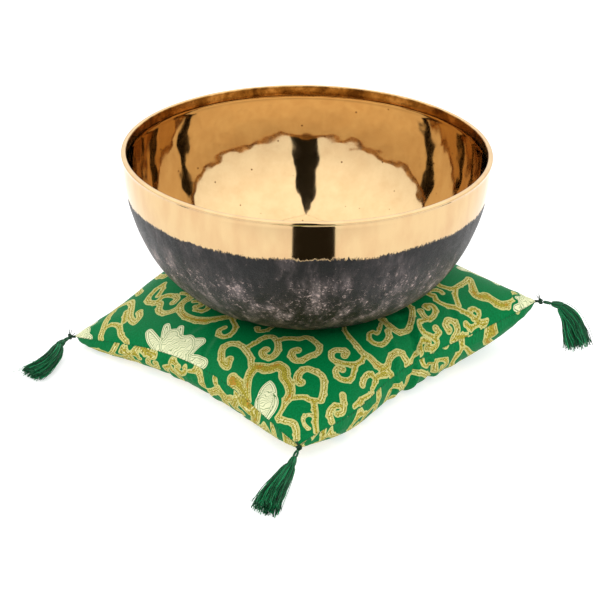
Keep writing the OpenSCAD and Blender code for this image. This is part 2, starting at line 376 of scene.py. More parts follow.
def stuffed(u, v, upper):
    """The pillow of the CAD model: corners blended bilinearly, sides drawn in, crowned by a power of
    (1 - u^2)(1 - v^2), pressed flat by the table below and dented by the bowl above."""
    share = np.stack([(1 - u) * (1 - v), (1 + u) * (1 - v), (1 + u) * (1 + v), (1 - u) * (1 + v)], -1) / 4
    base = share @ CORNER
    swell = np.exp(-((v - SWELL_AT) / SWELL_WIDE) ** 2) * (1 - v * v) * ((1 + u) / 2) ** 2
    plan = base[..., :2] + DIR_V * (waist(u) * drawn(v, PULL[0], PULL[2]))[..., None]
    plan = plan + DIR_U * (waist(v) * drawn(u, PULL[3], PULL[1]) + SWELL_OUT * swell)[..., None]
    middle = SEAM_FRONT_Z + (SEAM_RIGHT_Z - SEAM_FRONT_Z) * ((1 + v) / 2) ** 2 * (1 + u) / 2 \
        + (SEAM_LEFT_Z - SEAM_FRONT_Z) * ((1 - u) / 2) ** 2 * (1 + v) / 2 + 3 * MM * (1 + u) * (1 - v) / 4 \
        - SWELL_DOWN * swell
    weight = np.abs(u * v) ** (2.2 - np.clip(-u, 0, 1) * np.clip(-v, 0, 1))
    seam = middle * (1 - weight) + base[..., 2] * weight
    fullness = np.clip(1 - u * u, 0, None) * np.clip(1 - v * v, 0, None)
    if upper:
        crown = CROWN + CROWN_BACK * np.clip(v, 0, 1)
        for x, y, height, spread in LUMPS:
            away = (plan[..., 0] - x) ** 2 + (plan[..., 1] - y) ** 2
            crown = crown + height * np.exp(-away / (2 * spread ** 2))
        z = np.minimum(seam + crown * fullness ** 0.5, bowl_underside(np.hypot(*plan.T).T) - BOWL_GAP)
    else:
        z = np.maximum(seam - (BELLY + BELLY_BACK * np.clip(v, 0, 1)) * fullness ** 0.38, TABLE_GAP)
        near_u, near_v = (1 - u) / BELLY_REACH, (1 + v) / BELLY_REACH
        out_v = BELLY_OUT[0] * near_v * np.exp(1 - near_v) * np.sqrt(np.clip(1 - u * u, 0, None))
        out_u = BELLY_OUT[1] * near_u * np.exp(1 - near_u) * np.sqrt(np.clip(1 - v * v, 0, None))
        plan = plan - DIR_V * out_v[..., None] + DIR_U * out_u[..., None]
    return np.concatenate([plan, z[..., None]], -1)


def panel(upper):
    """A panel as a grid of points whose cells are nearly equal along the cloth: across the middle
    they are spaced by length along the surface, and evenly in plan along the seams."""
    s = np.linspace(-1, 1, 601)
    t = np.linspace(-1, 1, CELLS + 1)
    evened = []
    for line in (stuffed(s, 0 * s, upper), stuffed(0 * s, s, upper)):
        run = np.concatenate([[0], np.cumsum(np.linalg.norm(np.diff(line, axis=0), axis=1))])
        evened.append(np.interp(t, 2 * run / run[-1] - 1, s) - t)
    u, v = np.meshgrid(t, t, indexing="ij")
    across = u + evened[0][:, None] * np.sqrt(1 - v * v)
    along = v + evened[1][None, :] * np.sqrt(1 - u * u)
    return stuffed(across, along, upper)


def finer(sheet, times):
    """Divides a grid of points by Catmull-Rom interpolation along one axis and then the other."""
    for axis in (0, 1):
        s = np.moveaxis(sheet, axis, 0)
        n = len(s)
        p = np.concatenate([[2 * s[0] - s[1]], s, [2 * s[-1] - s[-2]]])
        t = np.linspace(0, n - 1, (n - 1) * times + 1)
        i = np.minimum(t.astype(int), n - 2)
        f = (t - i).reshape(-1, *([1] * (s.ndim - 1)))
        sheet = np.moveaxis(catmull_rom(p[i], p[i + 1], p[i + 2], p[i + 3], f), 0, axis)
    return sheet


def stuff_cushion():
    """Two square panels, sewn along their sides and pressed outwards by the filling, between the
    table and the bowl: a cloth simulation whose rest lengths are those of the flat cut."""
    n = CELLS + 1
    upper, lower = panel(True), panel(False)
    s = np.linspace(-1, 1, n)
    u, v = np.meshgrid(s, s, indexing="ij")
    top = np.arange(n * n).reshape(n, n)
    low = np.zeros((n, n), int)
    inner = np.zeros((n, n), bool)
    inner[1:-1, 1:-1] = True
    low[inner] = n * n + np.arange(inner.sum())
    low[~inner] = top[~inner]
    start = np.concatenate([upper.reshape(-1, 3), lower[inner]])
    cut = np.stack([u * CUT / 2, v * CUT / 2, 0 * u], -1)
    flat = np.concatenate([cut.reshape(-1, 3), cut[inner]])
    quads = grid_faces(n, n)
    faces = np.concatenate([top.ravel()[quads[:, ::-1]], low.ravel()[quads]])
    cloth = make_piece("stuffing_cloth", start, faces, bpy.data.materials.new("stuffing"))
    cloth.shape_key_add(name="stuffed")
    rest = cloth.shape_key_add(name="cut")
    rest.data.foreach_set("co", flat.astype(np.float32).ravel())
    pins = cloth.vertex_groups.new(name="held")
    pins.add(list(range(len(start))), 0.03, "ADD")
    pins.add([int(top[0, 0]), int(top[-1, 0]), int(top[-1, -1]), int(top[0, -1])], 1.0, "REPLACE")
    helper = make_press()
    cloth_mod = cloth.modifiers.new("cloth", "CLOTH")
    settings = cloth_mod.settings
    settings.rest_shape_key = rest
    for key, value in CLOTH.items():
        setattr(settings, key, value)
    settings.effector_weights.gravity = 0
    cloth_mod.collision_settings.distance_min = 1 * MM
    cloth_mod.collision_settings.use_self_collision = False
    for step in range(1, STUFFING_STEPS + 1):
        scene.frame_set(step)
    shaped = cloth.evaluated_get(bpy.context.evaluated_depsgraph_get()).to_mesh()
    points = np.empty(len(start) * 3, np.float32)
    shaped.vertices.foreach_get("co", points)
    points = points.reshape(-1, 3).astype(float)
    move = points - start
    far = np.maximum(np.linalg.norm(move, axis=1, keepdims=True), 1e-9)
    points = start + move * np.minimum(1, MOST_MOVE / far)
    for o in [cloth, *helper]:
        bpy.data.objects.remove(o)
    scene.frame_set(1)
    return points[top], points[low]


def make_press():
    """The table and the bowl's outside, which the cloth can't pass."""
    plane = np.array([(-0.4, -0.4, 0), (0.4, -0.4, 0), (0.4, 0.4, 0), (-0.4, 0.4, 0)], float)
    table = make_piece("press_table", plane, np.array([[0, 1, 2, 3]]), bpy.data.materials.new("press"))
    outline = side_curve(np.linspace(0, 0.8, 20))
    outline = np.concatenate([[(2 * MM, FOOT_Z)], outline])
    turn = np.linspace(0, 2 * np.pi, 72, endpoint=False)
    r, z = outline[:, :1], outline[:, 1:] + 0 * turn
    points = np.stack([r * np.cos(turn), r * np.sin(turn), z], -1).reshape(-1, 3)
    skin = grid_faces(len(outline), len(turn), closed=True)
    bowl = make_piece("press_bowl", points, skin, bpy.data.materials.new("press_b"))
    for o in (table, bowl):
        o.modifiers.new("collision", "COLLISION")
        o.collision.thickness_outer = 0.5 * MM
    return table, bowl


def clear_of_press(sheet):
    """Keeps a sheet above the table and under the bowl."""
    r = np.hypot(sheet[..., 0], sheet[..., 1])
    ceiling = bowl_underside(r) - 0.5 * MM
    sheet[..., 2] = np.clip(sheet[..., 2], TABLE_GAP, np.maximum(ceiling, TABLE_GAP))
    return sheet


# ---- the woven figures ----------------------------------------------------------------------
# Drawn at full size in mm on the flat upper panel: X to the right corner, Y to the back corner.
# The back of the panel repeats the front turned half round.
# A vine is (half width where it starts, half width where it ends, points). It ends in a round bud.
VINES = [
    # the frame of the front bud, and what grows from it
    (3.0, 5.0, [(-46, -144), (-46, -133), (-45, -124), (-41, -117), (-36, -117), (-32, -119)]),
    (5.2, 3.4, [(-29, -119), (-23, -117), (-18, -121), (-17, -128), (-13, -135), (-11, -143),
        (-13, -150)]),
    (3.2, 2.6, [(-13, -150), (-16, -157), (-18, -164), (-12, -168), (-6, -170), (-3, -177), (-2, -185)]),
    (3.0, 5.6, [(-46, -144), (-51, -135), (-56, -127), (-61, -123)]),
    (2.6, 3.4, [(-44, -114), (-45, -106), (-49, -98), (-52, -93), (-57, -89), (-63, -88), (-68, -92),
        (-69, -99), (-68, -106), (-64, -110), (-62, -104)]),
    (2.4, 3.3, [(-48, -94), (-41, -89), (-37, -85), (-30, -83), (-26, -87), (-24, -94), (-25, -102),
        (-29, -107), (-34, -106), (-36, -101), (-33, -98)]),
    (2.4, 3.3, [(-25, -88), (-18, -86), (-12, -86), (-7, -87), (-2, -85), (3, -88), (9, -96), (8, -103),
        (1, -107), (-5, -111), (-10, -111), (-13, -106), (-12, -101), (-8, -100)]),
    (2.6, 3.4, [(12, -149), (13, -141), (13, -132), (11, -126), (5, -122), (-1, -120), (-6, -124),
        (-7, -130), (-4, -134)]),
    (2.5, 2.5, [(-16, -150), (-10, -148), (-2, -147), (6, -149), (12, -149)]),
    (2.4, 2.2, [(7, -151), (9, -160), (10, -169), (12, -178)]),
    (1.7, 1.7, [(8, -163), (4, -162), (1, -165), (2, -170), (6, -175)]),
    (3.0, 2.6, [(28, -141), (29, -148), (29, -155), (25, -158)]),
    (2.4, 2.8, [(29, -150), (22, -152), (19, -159), (22, -166)]),
    (2.2, 2.6, [(39, -147), (43, -143), (48, -142)]),
    # the long vine from under the bowl to the right front side
    (1.9, 3.5, [(30, -70), (31, -78), (35, -87), (40, -95), (45, -102), (52, -106), (58, -110),
        (65, -112)]),
    (3.4, 2.8, [(63, -112), (69, -109), (70, -103), (73, -97), (79, -94), (84, -96), (89, -98)]),
    (3.0, 2.4, [(65, -112), (72, -112), (78, -112)]),
    (2.2, 2.8, [(95, -88), (93, -92), (94, -97)]),
    (2.2, 3.0, [(47, -104), (45, -109), (40, -113), (33, -114), (26, -113), (20, -110), (19, -105),
        (22, -101), (28, -101), (32, -103), (30, -106)]),
    (2.2, 2.8, [(41, -112), (38, -118), (36, -125), (31, -128), (25, -127), (22, -122), (24, -118),
        (28, -119)]),
    (2.6, 2.4, [(70, -114), (60, -119), (58, -125), (56, -130)]),
    (2.3, 2.8, [(60, -122), (53, -119), (48, -122), (45, -129)]),
    (1.8, 2.4, [(59, -131), (51, -136), (44, -141)]),
    (1.8, 2.8, [(60, -67), (59, -75), (57, -80), (54, -78), (51, -81), (51, -87), (54, -91), (59, -92),
        (64, -89), (67, -83), (66, -77)]),
    (2.4, 3.4, [(80, -41), (84, -47), (85, -55), (84, -65), (81, -73), (75, -76), (70, -73), (65, -67),
        (61, -60)]),
    (2.2, 2.8, [(97, -46), (94, -43), (99, -41), (103, -46), (102, -53), (98, -57), (94, -54), (91, -49)]),
    (2.2, 2.6, [(97, -58), (92, -61), (91, -66), (95, -71), (103, -71), (110, -72), (111, -76),
        (103, -80)]),
    (2.2, 2.8, [(106, -71), (109, -66), (105, -63)]),
    (2.2, 2.6, [(103, -76), (97, -77), (96, -83), (100, -86)]),
    (2.4, 3.0, [(137, -54), (129, -59), (124, -63), (125, -57), (120, -52), (114, -53), (114, -58),
        (118, -60)]),
    # around the right bud
    (2.2, 2.6, [(101, -28), (104, -35), (110, -38), (118, -39), (125, -40), (133, -41), (142, -42),
        (149, -38)]),
    (2.2, 2.4, [(118, -17), (118, -26), (121, -36)]),
    (2.0, 2.4, [(108, -25), (105, -22), (99, -22), (96, -26), (100, -29)]),
    (2.0, 2.4, [(139, -41), (139, -36), (134, -34), (131, -37)]),
    (2.0, 2.4, [(142, -43), (136, -49), (130, -49)]),
    (2.2, 2.8, [(100, -8), (104, -14), (109, -17), (116, -17), (122, -10), (127, -3), (130, 3)]),
    (2.6, 5.0, [(131, 2), (132, -9), (134, -18), (139, -19), (144, -17)]),
    (4.6, 3.0, [(146, -18), (152, -20), (158, -20), (165, -15), (169, -8), (168, 1)]),
    # around the left corner
    (2.4, 3.2, [(-115, 10), (-121, 7), (-126, 1), (-126, -6), (-121, -11), (-117, -15), (-118, -23),
        (-115, -29), (-109, -31), (-103, -29), (-99, -23), (-93, -18)]),
    (2.2, 2.8, [(-121, -11), (-114, -7), (-107, -11), (-104, -16), (-107, -20)]),
    (1.8, 2.2, [(-115, 10), (-116, 3), (-119, -3)]),
    (2.6, 4.4, [(-101, -27), (-101, -35), (-97, -43), (-90, -50), (-81, -54)]),
    (4.4, 2.4, [(-81, -54), (-71, -53), (-62, -51), (-54, -48)]),
    (2.2, 2.6, [(-91, -25), (-86, -26), (-85, -31), (-90, -33)]),
    (2.2, 2.6, [(-90, -37), (-84, -40), (-80, -37), (-79, -31)]),
    (2.2, 2.6, [(-62, -51), (-60, -60), (-58, -68), (-61, -76), (-67, -79), (-71, -75), (-71, -69),
        (-67, -67)]),
    (2.0, 2.6, [(-29, -69), (-34, -74), (-40, -75), (-41, -70)]),
    (2.8, 3.0, [(-139, 40), (-137, 28), (-134, 16)]),
    (2.8, 3.0, [(-123, 44), (-121, 30), (-115, 22)]),
    (2.8, 2.8, [(-156, 28), (-154, 18), (-147, 14), (-140, 9), (-139, -3), (-140, -15), (-137, -25),
        (-133, -21), (-133, -14)]),
    (3.0, 2.8, [(-153, 14), (-157, 4), (-160, -6), (-163, -15), (-167, -22)]),
    (2.2, 2.8, [(-162, -12), (-154, -13), (-149, -21), (-149, -32), (-147, -42)]),
    (2.0, 2.4, [(-143, -3), (-144, -10), (-145, -18)])]
# A flower is (kind, X mm, Y mm, lean to the right in degrees, size).
FLOWERS = [
    ("lotus", -117, -89, 34, 1.0), ("bud", -31, -165, 6, 1.0), ("lotus", -196, 0, 86, 0.72),
    ("lotus", 146, 50, 178, 1.1)]
REPEATED = 3                       # how many of the flowers the turned back half repeats
BACK = 44.0                        # the turned copy of the vines begins at this Y
# Curls under the bowl: X mm, Y mm, direction in degrees in which each begins, and its hand.
CURLS = [
    (-76, -12, 200, 1), (-48, -26, 20, -1), (-18, -44, 160, 1), (14, -44, 20, -1), (46, -32, 170, 1),
    (70, -16, -20, 1), (-66, 20, 100, -1), (-32, 6, 250, 1), (2, -12, 90, -1), (34, 0, 260, -1),
    (62, 18, 80, 1), (94, 14, 250, -1), (-90, 40, 250, 1), (-44, 36, 20, 1), (-10, 26, 200, -1),
    (22, 32, 0, 1), (90, 42, 60, -1)]


def curl(x, y, turn, hand):
    """A stem that winds into a spiral of 14 mm, each of its ten steps 1.1 mm closer to the middle."""
    k = np.arange(10)
    angle = np.radians(turn) + hand * 0.62 * k
    wound = np.array((x, y)) + (14 - 1.1 * k)[:, None] * np.stack([np.cos(angle), np.sin(angle)], 1)
    stem = wound[0] + 1.3 * (wound[0] - wound[1]) + 0.3 * (wound[0] - (x, y))
    return np.concatenate([stem[None], wound])


def vine_dots():
    """Each vine as a row of dots 0.8 mm apart whose radius is its half width, with a larger dot at
    its end and lobes that stand a little proud of its outer side."""
    dots = []
    for first, last, points in VINES + [(2.0, 3.0, curl(*c)) for c in CURLS]:
        path = through(points, 200)
        run = np.concatenate([[0], np.cumsum(np.linalg.norm(np.diff(path, axis=0), axis=1))])
        even = np.arange(0, run[-1], 0.8)
        at = np.stack([np.interp(even, run, path[:, k]) for k in (0, 1)], 1)
        width = first + (last - first) * even / run[-1]
        dots.append(np.column_stack([at, width]))
        along = unit(np.gradient(at, axis=0))
        bend = (along[:-1, 0] * along[1:, 1] - along[:-1, 1] * along[1:, 0]).sum()
        outer = np.column_stack([along[:, 1], -along[:, 0]]) * np.sign(bend)
        lobe = slice(8, -4, 14)
        dots.append(np.column_stack([at[lobe] + 0.9 * outer[lobe], width[lobe] * 0.95]))
        dots.append(np.array([[*at[-1], last * 1.12]]))
    dots = np.concatenate(dots)
    turned = dots * (-1, -1, 1)
    return np.concatenate([dots, turned[turned[:, 1] > BACK]])


def nearest(x, y, dots, chunk=160):
    """Signed distance in mm to the nearest dot's edge, taken row by row from the dots that are near."""
    best = np.full(x.shape, 9.0, np.float32)
    for k in range(0, len(dots), chunk):
        d = dots[k:k + chunk].astype(np.float32)
        low, high = d[:, :2].min(0) - 12, d[:, :2].max(0) + 12
        near = (x > low[0]) & (x < high[0]) & (y > low[1]) & (y < high[1])
        away = np.hypot(x[near][:, None] - d[:, 0], y[near][:, None] - d[:, 1]) - d[:, 2]
        best[near] = np.minimum(best[near], away.min(-1)) if near.any() else best[near]
    return best


def petal(lean, length, width, bend):
    """Dots along a petal that leaves the flower's foot at an angle and curls outwards; its half width
    swells and closes like half a sine."""
    s = np.linspace(0.06, 1, 30)
    a = lean + bend * s ** 2
    half = width * np.sin(np.pi * np.clip(0.2 + 0.66 * s, 0, 1)) ** 0.8
    return np.column_stack([length * s * np.sin(a), length * s * np.cos(a), half])


LOTUS = [
    petal(1.75, 33, 6.0, 0.20), petal(-1.75, 33, 6.0, -0.20), petal(1.16, 34, 7.2, 0.12),
    petal(-1.22, 40, 6.0, 0.0), petal(0.50, 33, 8.2, 0.14), petal(-0.86, 44, 6.4, 0.05),
    petal(-0.48, 42, 5.4, 0.0), petal(-0.10, 37, 5.4, -0.06),
    np.array([(0, 10, 15), (-6, 19, 12), (6, 20, 11), (-9, 28, 7)], float)]
BUD = [
    np.array([(0, 17 + k, 8.4 * np.cos(k / 16 * 1.45) ** 0.9) for k in np.linspace(-9, 16, 26)]),
    petal(0.95, 24, 2.2, -0.80), petal(-0.95, 24, 2.2, 0.80)]


def flowers(x, y):
    """Signed distance to the flowers, and signed distance to the petal on top at each point."""
    bloom = np.full(x.shape, 9.0, np.float32)
    petals = np.full(x.shape, 9.0, np.float32)
    for sign in (1, -1):
        for kind, fx, fy, lean, size in FLOWERS if sign > 0 else FLOWERS[:REPEATED]:
            a = np.radians(lean)
            dx, dy = (sign * x - fx) / size, (sign * y - fy) / size
            px, py = dx * np.cos(a) - dy * np.sin(a), dx * np.sin(a) + dy * np.cos(a)
            for dots in (LOTUS if kind == "lotus" else BUD):
                d = nearest(px, py, dots) * size
                petals = np.where(d < 0, d, np.minimum(petals, d))
                bloom = np.minimum(bloom, d)
    return bloom, petals


def figures(n):
    """Where each point of a panel lies in the flat cloth, and its distances to the woven figures on the
    upper and on the lower panel, which was cut where the cloth has no flowers."""
    s = np.linspace(-1, 1, n)
    u, v = np.meshgrid(s, s, indexing="ij")
    half = CUT / MM / 2
    x, y = (u + v) * half / np.sqrt(2), (v - u) * half / np.sqrt(2)
    bloom, petals = flowers(x, y)
    dots = vine_dots()
    vines = nearest(x, y, dots)
    bare = np.full(x.shape, 9.0)
    below = np.minimum(nearest(x - 9, y + 17, dots), vines.T[::-1, ::-1] + np.clip(x / 6, 0, None))
    uv = np.stack([x, y], -1).reshape(-1, 2) / SPAN + 0.5
    upper = {"scroll": np.maximum(vines, 2.4 - bloom), "bloom": bloom, "petal": petals}
    return uv, upper, {"scroll": below, "bloom": bare, "petal": bare}


def make_cushion(brocade, fibre, thread):
    upper, lower = stuff_cushion()
    n = CELLS * FINER + 1
    quads = grid_faces(n, n)
    uv, fields, under = figures(n)
    for name, sheet, faces, way in (
            ("cover_top_brocade", upper, quads[:, ::-1], 1), ("cover_bottom_brocade", lower, quads, -1)):
        fine = finer(sheet, FINER)
        fine = clear_of_press(fine + puckers(n, way)[..., None] * outward(fine, way))
        mapped = fields if way > 0 else under
        cover = make_piece(name, fine.reshape(-1, 3), faces, brocade, uv=uv, **mapped)
        place(cover, "cushion", "brocade", name[:-8])
    core = make_piece("filling_fibre", *filling(upper, lower), fibre)
    place(core, "cushion", "fibre_filling", "filling")
    seam = np.concatenate([upper[:-1, 0], upper[-1, :-1], upper[:0:-1, -1], upper[0, :0:-1]])
    place(make_piece("seam_stitches", *stitches(seam), thread), "cushion", "stitch_thread", "edge_stitching")
    return upper, lower


# Creases where the stuffed cover buckles: (edge, place along it -1..1, lean, length mm, depth mm).
CREASES = [
    (1, 0.02, 0.30, 66, 2.0), (1, 0.12, -0.25, 52, 1.6), (1, -0.16, 0.15, 44, 1.3), (1, 0.34, 0.2, 36, 0.7),
    (0, 0.06, -0.3, 46, 1.0), (0, -0.2, 0.2, 38, 0.8), (0, 0.4, 0.1, 30, 0.6), (2, 0.0, 0.2, 50, 1.1),
    (2, -0.3, -0.2, 36, 0.8), (3, 0.05, 0.25, 52, 1.2), (3, 0.3, -0.15, 34, 0.8), (3, -0.25, 0.1, 34, 0.7)]


def puckers(n, way):
    """Height in metres that the cloth stands out along its normal: ripples that die away from the
    seam, and furrows that run in from it, each a Gaussian across and fading along its length."""
    s = np.linspace(-1, 1, n)
    u, v = np.meshgrid(s, s, indexing="ij")
    half = CUT / MM / 2
    total = np.zeros_like(u)
    for edge in range(4):
        inward = half * (1 + (v, -u, -v, u)[edge])
        along = half * (u, v, u, v)[edge]
        phase = 1.3 * edge + 0.5 * way
        ripple = np.sin(2 * np.pi * along / 15 + 1.4 * np.sin(along / 19 + phase) + phase)
        total += 0.32 * ripple * np.exp(-inward / 9) * np.clip(inward / 2, 0, 1)
        for which, at, lean, length, depth in CREASES:
            if which == edge:
                off = along - half * at - lean * inward * way
                fade = np.clip(inward / 5, 0, 1) * np.exp(-(inward / length) ** 2)
                wide = 2.0 + 0.07 * inward
                crest = np.exp(-((off - 1.7 * wide) / wide) ** 2)
                furrow = np.exp(-(off / wide) ** 2)
                total += depth * fade * (crest - 1.3 * furrow)
    return total * MM


def outward(sheet, sign):
    du, dv = np.gradient(sheet, axis=0), np.gradient(sheet, axis=1)
    return sign * unit(np.cross(du, dv))


def filling(upper, lower):
    """The fibre body: both panels moved 5 mm inwards, without their two outermost rows, closed at the rim."""
    depth = 5 * MM
    top = (upper - depth * outward(upper, 1))[2:-2, 2:-2]
    low = (lower - depth * outward(lower, -1))[2:-2, 2:-2]
    low[..., 2] = np.minimum(low[..., 2], top[..., 2] - 0.2 * MM)
    n = len(top)
    index = np.arange(n * n).reshape(n, n)
    rim = np.concatenate([index[:-1, 0], index[-1, :-1], index[:0:-1, -1], index[0, :0:-1]])
    ahead = np.roll(rim, -1)
    quads = grid_faces(n, n)
    wall = np.stack([rim, rim + n * n, ahead + n * n, ahead], 1)
    return np.concatenate([top.reshape(-1, 3), low.reshape(-1, 3)]), [quads[:, ::-1], quads + n * n, wall]


def stitches(seam):
    """Small slanting stitches along the seam, one every 3 mm: each is a short bowed thread."""
    loop = np.concatenate([seam, seam[:1]])
    run = np.concatenate([[0], np.cumsum(np.linalg.norm(np.diff(loop, axis=0), axis=1))])
    at = np.arange(6 * MM, run[-1], 3 * MM)
    mid = np.stack([np.interp(at, run, loop[:, k]) for k in range(3)], 1)
    ahead = np.stack([np.interp(at + 1 * MM, run, loop[:, k]) for k in range(3)], 1)
    along = unit(ahead - mid)
    centre = loop.mean(0)
    out = unit((mid - centre) * (1, 1, 0))
    out = unit(out - (out * along).sum(1, keepdims=True) * along)
    up = np.cross(out, along)
    s = np.linspace(-1, 1, 5)[None, :, None]
    bow = (0.1 + 0.3 * (1 - s ** 2)) * MM * out[:, None]
    path = mid[:, None] + bow + 0.7 * MM * s * up[:, None] + 0.4 * MM * s * along[:, None]
    return tubes(path, 0.14 * MM, 4)


# ---- tassels --------------------------------------------------------------------------------
# The route that each skirt takes from its neck to its cut ends, the same points as the CAD.
TAILS = {
    "left": [(-196, -38, 6.5), (-203, -54, 5), (-209, -66, 4.8)],
    "front": [(-14, -217, 8), (-20, -232, 5.3), (-25, -246, 4.8)],
    "right": [(208, -11, 34), (213, -12, 22), (217, -12, 6)],
    "back": [(11.5, 200, 12.5), (15, 214, 6.5), (18, 228, 4.8)]}
STRANDS = 300
NECK_R = 2.3 * MM
THREAD_R = 0.33 * MM
# Half extents of the cut end: along the table, and square to it.
FAN = {
    "left": (10.5 * MM, 4.8 * MM), "front": (11.0 * MM, 4.8 * MM), "right": (7.0 * MM, 10.5 * MM),
    "back": (10.5 * MM, 4.8 * MM)}
# How far the middle of the bundle sags off the route.
SAG = {"left": (1.5, -2.0, 0), "front": (-2.5, 0.5, 0), "right": (0, 0, -2.0), "back": (0, 0, 0)}


def skirt(name, seed):
    """Loose threads along the route. A thread's place in the bundle is a point in a disc that grows
    from the neck into an oval; a slow wave and a few strays keep them from lying like combed hair."""
    rng = np.random.default_rng(seed)
    neck = box_middle("tassel_binding_" + name)
    route = through(np.array([neck, *(np.array(TAILS[name]) * MM)]), 60)
    steps = 16
    radius = np.sqrt(rng.uniform(0, 1, STRANDS))
    turn = rng.uniform(0, 2 * np.pi, STRANDS)
    across, through_it = radius * np.cos(turn), radius * np.sin(turn)
    reach = (rng.normal(0.945, 0.035, STRANDS) - 0.05 * across ** 2).clip(0.82, 1.03)
    stray = rng.uniform(0, 1, STRANDS) < 0.09
    t = np.linspace(0, 1, steps)[None, :] * reach[:, None]
    k = np.clip(t, 0, 1) * (len(route) - 1)
    base = np.stack([np.interp(k, np.arange(len(route)), route[:, c]) for c in range(3)], -1)
    base += np.clip(t - 1, 0, None)[..., None] * (route[-1] - route[-2]) * len(route)
    lean = unit(np.gradient(route, axis=0))
    along = np.stack([np.interp(k, np.arange(len(route)), lean[:, c]) for c in range(3)], -1)
    side = unit(np.cross(along, (0.0, 0.0, 1.0)) + (1e-6, 0, 0))
    up = np.cross(side, along)
    spread = np.clip(t, 0, 1) ** 0.5
    base += (np.sin(np.pi * np.clip(t, 0, 1)) ** 0.8)[..., None] * np.array(SAG[name]) * MM
    flare = np.where(stray, rng.uniform(1.05, 1.35, STRANDS), 1.0)[:, None]
    wide = (NECK_R + (FAN[name][0] - NECK_R) * spread) * flare
    thick = (NECK_R + (FAN[name][1] - NECK_R) * spread) * flare
    wave, slow = rng.uniform(0.7, 2.0, (2, STRANDS))[:, :, None], rng.uniform(0, 6, (2, STRANDS))[:, :, None]
    sway = (0.55 * MM * np.clip(t * 2, 0, 1))[None] * np.sin(2 * np.pi * t * wave + slow)
    splay = rng.normal(0, 1.0 * MM, (2, STRANDS))[:, :, None] * t ** 3 * np.where(stray, 3.0, 1.0)[:, None]
    path = base + (across[:, None] * wide + sway[0] + splay[0])[..., None] * side
    path += (through_it[:, None] * thick + sway[1] + splay[1])[..., None] * up
    path[..., 2] = np.maximum(path[..., 2], THREAD_R + 0.1 * MM)
    points, faces = tubes(path, THREAD_R * np.where(stray, 0.6, 1.0)[:, None] * (1 - 0.2 * t), 4)
    # painted shade: threads nearer the middle of the bundle are darker, on top of a random darkness for each
    # thread
    tone_and_painted_shade = np.repeat(rng.uniform(0, 1, STRANDS) * (0.5 + 0.5 * radius), steps * 4)
    return points, faces, {"tone_and_painted_shade": tone_and_painted_shade}


def axes_of(name):
    """The tassel's head, and three directions: from the head to the neck and two across."""
    head, neck = box_middle("tassel_head_" + name), box_middle("tassel_binding_" + name)
    axis = unit(neck - head)
    side = unit(np.cross(axis, (0.0, 0.0, 1.0)))
    return head, neck, axis, side, np.cross(side, axis)


def head_threads(name):
    """The folded top of the bundle: threads that leave the loop's end and widen towards the neck."""
    head, _, axis, side, up = axes_of(name)
    parts = []
    steps = 12
    s = np.linspace(0, 1, steps)[None, :]
    for count, size in ((30, 1.0), (22, 0.62), (9, 0.25)):
        turn = np.linspace(0, 2 * np.pi, count, endpoint=False)[:, None] + 0.35 * s + 0.3 * size
        bow = size * MM * (0.9 + 1.75 * np.sin(np.pi * (0.1 + 0.62 * s)) ** 0.8)
        path = head + ((-3.4 + 8.6 * s) * MM)[..., None] * axis
        path = path + (bow * np.cos(turn))[..., None] * side + (bow * np.sin(turn))[..., None] * up
        parts.append(tubes(path, 0.36 * MM, 4))
    points, faces = joined(parts)
    tone_and_painted_shade = np.repeat(np.random.default_rng(11).uniform(0.1, 0.8, 61), steps * 4)
    return points, faces, {"tone_and_painted_shade": tone_and_painted_shade}


def binding(name):
    """Thread wound four times round the neck."""
    _, neck, axis, side, up = axes_of(name)
    s = np.linspace(0, 1, 90)
    turn = 2 * np.pi * 4 * s
    path = neck + ((s - 0.5) * 2.0 * MM)[:, None] * axis + (NECK_R + 0.45 * MM) * (
        np.cos(turn)[:, None] * side + np.sin(turn)[:, None] * up)
    points, faces = tubes(path[None], 0.28 * MM, 6)
    return points, faces, {"tone_and_painted_shade": np.full(len(points), 0.35)}


def loop_cord(name):
    """A two-ply cord bent into a tight eye between the corner knot and the head."""
    low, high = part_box("tassel_loop_" + name)
    middle = np.array((low + high) / 2)
    along = unit(box_middle("tassel_head_" + name) - box_middle("corner_knot_" + name))
    side = unit(np.cross(along, (0.0, 0.0, 1.0)))
    up = np.cross(side, along)
    turn = np.linspace(0, 2 * np.pi, 84, endpoint=False)
    eye = middle + (3.3 * MM * np.cos(turn))[:, None] * along + (1.05 * MM * np.sin(turn))[:, None] * side
    plies = []
    for start in (0, np.pi):
        twist = 7 * turn + start
        out = unit(eye - middle)
        plies.append(eye + 0.42 * MM * (np.cos(twist)[:, None] * out + np.sin(twist)[:, None] * up))
    points, faces = tubes(np.array(plies), 0.56 * MM, 7, closed=True)
    return points, faces, {"tone_and_painted_shade": np.full(len(points), 0.3)}


